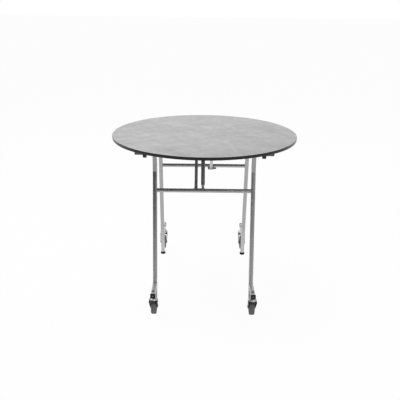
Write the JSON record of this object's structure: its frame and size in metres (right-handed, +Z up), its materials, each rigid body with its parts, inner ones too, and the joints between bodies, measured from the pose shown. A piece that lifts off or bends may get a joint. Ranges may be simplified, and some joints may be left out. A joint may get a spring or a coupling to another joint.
{
  "type": "folding table",
  "caption": "Round folding table on two splayed leg frames with castored outriggers; the top is two half-round leaves that fold up about a centre hinge, helped by a gas spring.",
  "frame": {"origin": "on the floor, under the middle of the round top", "axes": "+Z up; +X to the right along the hinge line, seen from the front; +Y from the front leaf towards the rear leaf"},
  "size_m": [0.85, 0.85, 0.748],
  "materials": {
    "board": "stone grey laminate with a black edge band",
    "steel": "bright chromed steel",
    "dark_steel": "dark grey paint, satin",
    "zinc": "zinc plated",
    "black": "black, fine grain",
    "rubber": "black, matt",
    "wheel": "grey, matt"
  },
  "bodies": {
    "front_frame": {"front_pivot_tube": "dark_steel", "front_crossbar": "steel", "front_crossbar_lug": "zinc", "front_leg_left": "steel", "front_leg_right": "steel", "front_foot_left": "rubber", "front_foot_right": "rubber", "front_outrigger_left": "steel", "front_outrigger_right": "steel", "front_outrigger_cap_left": "black", "front_outrigger_cap_right": "black", "front_tube_plug_left": "black", "front_tube_plug_right": "black", "front_castor_stem_left": "zinc", "front_castor_stem_right": "zinc"},
    "front_leaf_group": {"front_leaf": "board", "front_leaf_anchor": "zinc", "front_pivot_block_left": "black", "front_pivot_block_right": "black", "front_hinge_left": "zinc", "front_hinge_right": "zinc"},
    "front_link_bar": {"front_link": "steel"},
    "front_left_castor": {"front_castor_fork_left": "black", "front_castor_axle_left": "zinc"},
    "front_left_wheel": {"front_castor_wheel_left": "wheel"},
    "front_right_castor": {"front_castor_fork_right": "black", "front_castor_axle_right": "zinc"},
    "front_right_wheel": {"front_castor_wheel_right": "wheel"},
    "rear_frame": {"rear_pivot_tube": "dark_steel", "rear_crossbar": "steel", "rear_crossbar_lug": "zinc", "rear_leg_left": "steel", "rear_leg_right": "steel", "rear_foot_left": "rubber", "rear_foot_right": "rubber", "rear_outrigger_left": "steel", "rear_outrigger_right": "steel", "rear_outrigger_cap_left": "black", "rear_outrigger_cap_right": "black", "rear_tube_plug_left": "black", "rear_tube_plug_right": "black", "rear_castor_stem_left": "zinc", "rear_castor_stem_right": "zinc"},
    "rear_leaf_group": {"rear_leaf": "board", "rear_leaf_anchor": "zinc", "rear_pivot_block_left": "black", "rear_pivot_block_right": "black", "rear_hinge_left": "zinc", "rear_hinge_right": "zinc", "hinge_pin_left": "zinc", "hinge_pin_right": "zinc"},
    "rear_link_bar": {"rear_link": "steel"},
    "rear_left_castor": {"rear_castor_fork_left": "black", "rear_castor_axle_left": "zinc"},
    "rear_left_wheel": {"rear_castor_wheel_left": "wheel"},
    "rear_right_castor": {"rear_castor_fork_right": "black", "rear_castor_axle_right": "zinc"},
    "rear_right_wheel": {"rear_castor_wheel_right": "wheel"},
    "gas_body": {"gas_cylinder": "dark_steel"},
    "gas_piston": {"gas_rod": "steel"}
  },
  "joints": [
    {"name": "centre_fold", "type": "hinge", "parent": "front_leaf_group", "child": "rear_leaf_group", "pos_m": [0, 0, 0.6785], "axis": [-1, 0, 0], "range_deg": [0, 180]},
    {"name": "front_leaf_pivot", "type": "hinge", "parent": "front_frame", "child": "front_leaf_group", "pos_m": [0, -0.1855, 0.704], "axis": [1, 0, 0], "range_deg": [0, 90]},
    {"name": "rear_frame_pivot", "type": "hinge", "parent": "rear_leaf_group", "child": "rear_frame", "pos_m": [0, 0.1855, 0.704], "axis": [1, 0, 0], "range_deg": [0, 90]},
    {"name": "front_link_pivot", "type": "hinge", "parent": "rear_leaf_group", "child": "front_link_bar", "pos_m": [-0.036, 0.07107, 0.6785], "axis": [1, 0, 0], "range_deg": [0, 145]},
    {"name": "rear_link_pivot", "type": "hinge", "parent": "front_leaf_group", "child": "rear_link_bar", "pos_m": [0.036, -0.07107, 0.6785], "axis": [-1, 0, 0], "range_deg": [0, 145]},
    {"name": "gas_pivot", "type": "hinge", "parent": "rear_leaf_group", "child": "gas_body", "pos_m": [-0.005, 0.02, 0.6925], "axis": [1, 0, 0], "range_deg": [0, 134.68]},
    {"name": "gas_stroke", "type": "slide", "parent": "gas_body", "child": "gas_piston", "axis": [0, -0.7677, -0.6408], "range_m": [0, 0.08553]},
    {"name": "front_left_swivel", "type": "hinge", "parent": "front_frame", "child": "front_left_castor", "pos_m": [-0.218, -0.38701, 0.11004], "axis": [0, 0.0872, 0.9962], "continuous": true},
    {"name": "front_left_roll", "type": "hinge", "parent": "front_left_castor", "child": "front_left_wheel", "pos_m": [-0.218, -0.3587, 0.0435], "axis": [1, 0, 0], "continuous": true},
    {"name": "front_right_swivel", "type": "hinge", "parent": "front_frame", "child": "front_right_castor", "pos_m": [0.218, -0.38701, 0.11004], "axis": [0, 0.0872, 0.9962], "continuous": true},
    {"name": "front_right_roll", "type": "hinge", "parent": "front_right_castor", "child": "front_right_wheel", "pos_m": [0.218, -0.3587, 0.0435], "axis": [1, 0, 0], "continuous": true},
    {"name": "rear_left_swivel", "type": "hinge", "parent": "rear_frame", "child": "rear_left_castor", "pos_m": [-0.218, 0.38701, 0.11004], "axis": [0, -0.0872, 0.9962], "continuous": true},
    {"name": "rear_left_roll", "type": "hinge", "parent": "rear_left_castor", "child": "rear_left_wheel", "pos_m": [-0.218, 0.3587, 0.0435], "axis": [1, 0, 0], "continuous": true},
    {"name": "rear_right_swivel", "type": "hinge", "parent": "rear_frame", "child": "rear_right_castor", "pos_m": [0.218, 0.38701, 0.11004], "axis": [0, -0.0872, 0.9962], "continuous": true},
    {"name": "rear_right_roll", "type": "hinge", "parent": "rear_right_castor", "child": "rear_right_wheel", "pos_m": [0.218, 0.3587, 0.0435], "axis": [1, 0, 0], "continuous": true}
  ],
  "couplings": [
    {"joint": "front_leaf_pivot", "follows": "centre_fold", "ratio": 0.5},
    {"joint": "rear_frame_pivot", "follows": "centre_fold", "ratio": 0.5},
    {"joint": "front_link_pivot", "follows": "centre_fold", "ratio": 0.80553},
    {"joint": "rear_link_pivot", "follows": "centre_fold", "ratio": 0.80553},
    {"joint": "gas_pivot", "follows": "centre_fold", "ratio": 0.74819},
    {"joint": "gas_stroke", "follows": "centre_fold", "m_per_rad": 0.027221}
  ]
}
